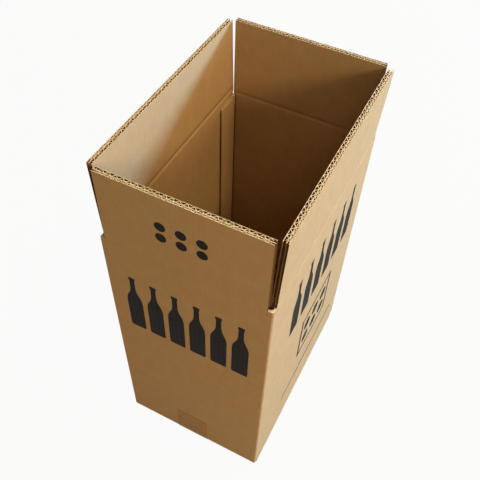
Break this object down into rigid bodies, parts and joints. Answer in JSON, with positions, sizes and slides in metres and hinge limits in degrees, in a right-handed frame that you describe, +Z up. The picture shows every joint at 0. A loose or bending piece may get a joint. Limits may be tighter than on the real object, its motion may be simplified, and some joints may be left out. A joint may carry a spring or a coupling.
{
  "type": "bottle shipping box",
  "caption": "Tall open shipping box of double-wall corrugated board for bottles, with hinged top flaps standing up and a taped bottom.",
  "frame": {"origin": "centre of the bounding box at the underside of the bottom flaps", "axes": "+Z up, -Y out of the short front wall, +X out of the long right wall"},
  "size_m": [0.219, 0.3134, 0.5244],
  "materials": {
    "board": "matt kraft liner",
    "fluted_board": "matt kraft liner, cut edges open",
    "tape": "brown film, satin"
  },
  "bodies": {
    "box_body": {"box_body": "board", "bottom_tape": "tape"},
    "front_flap": {"front_flap": "fluted_board"},
    "back_flap": {"back_flap": "fluted_board"},
    "left_flap": {"left_flap": "fluted_board"},
    "right_flap": {"right_flap": "fluted_board"}
  },
  "joints": [
    {"name": "front_flap_crease", "type": "hinge", "parent": "box_body", "child": "front_flap", "pos_m": [0, -0.1545, 0.4154], "axis": [-1, 0, 0], "range_deg": [-120, 90]},
    {"name": "back_flap_crease", "type": "hinge", "parent": "box_body", "child": "back_flap", "pos_m": [0, 0.1545, 0.4154], "axis": [1, 0, 0], "range_deg": [-120, 90]},
    {"name": "left_flap_crease", "type": "hinge", "parent": "box_body", "child": "left_flap", "pos_m": [-0.104, 0, 0.4228], "axis": [0, 1, 0], "range_deg": [-118, 92]},
    {"name": "right_flap_crease", "type": "hinge", "parent": "box_body", "child": "right_flap", "pos_m": [0.104, 0, 0.4228], "axis": [0, -1, 0], "range_deg": [-118, 92]}
  ]
}
